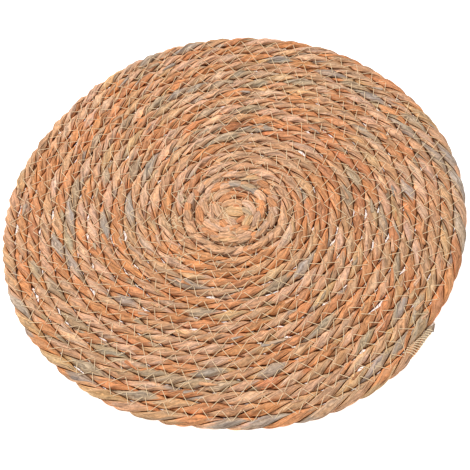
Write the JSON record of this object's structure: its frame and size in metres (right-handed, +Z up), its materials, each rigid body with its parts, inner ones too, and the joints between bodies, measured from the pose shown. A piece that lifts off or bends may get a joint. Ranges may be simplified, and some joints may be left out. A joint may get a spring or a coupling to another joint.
{
  "type": "round placemat of coiled and sewn twisted leaf rope",
  "caption": "Flat round table mat: one twisted leaf rope wound in a spiral and zigzag sewn turn to turn, to lay under a plate.",
  "frame": {"origin": "on the surface that the mat lies on, under the middle of its outline", "axes": "+Z up out of the table, +X to the right and +Y away from the viewer in the picture's view"},
  "size_m": [0.3806, 0.3808, 0.008],
  "materials": {
    "leaf_rope": "dry matt leaf, orange-tan with grey-green and peach leaves",
    "sewing_thread": "matt straw-coloured spun thread"
  },
  "bodies": {
    "root": {"coiled_rope_mat": "leaf_rope"}
  },
  "joints": []
}
